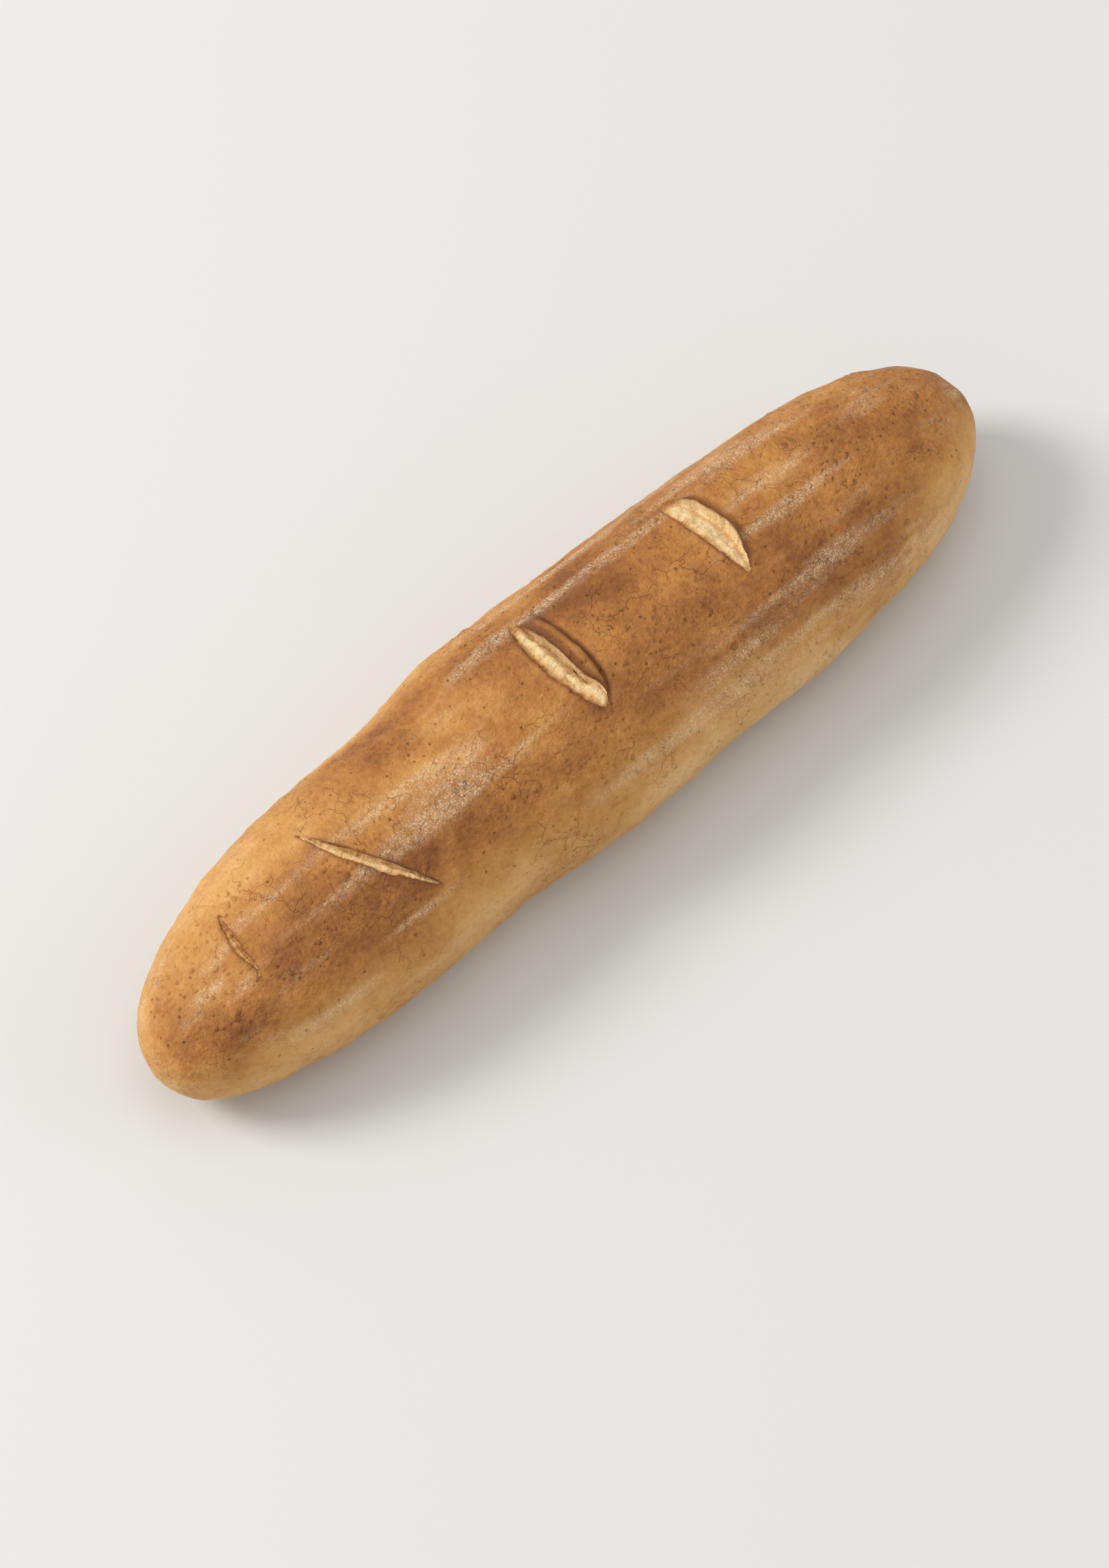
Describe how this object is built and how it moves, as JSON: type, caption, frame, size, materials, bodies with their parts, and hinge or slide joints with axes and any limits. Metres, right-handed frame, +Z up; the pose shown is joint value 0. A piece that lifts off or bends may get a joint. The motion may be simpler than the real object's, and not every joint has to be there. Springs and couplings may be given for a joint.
{
  "type": "baguette",
  "caption": "Short, plump baguette with rounded ends, a flat base and a slashed, crusty crown, lying on its base.",
  "frame": {"origin": "middle of the footprint, on the flat base that the loaf was baked on", "axes": "+X along the loaf, from the slimmer, narrowly slashed end to the fuller end; +Y across it; +Z up, out of the slashed crown"},
  "size_m": [0.27, 0.0634, 0.0481],
  "materials": {
    "crust": null
  },
  "bodies": {
    "root": {"loaf": "crust"}
  },
  "joints": []
}
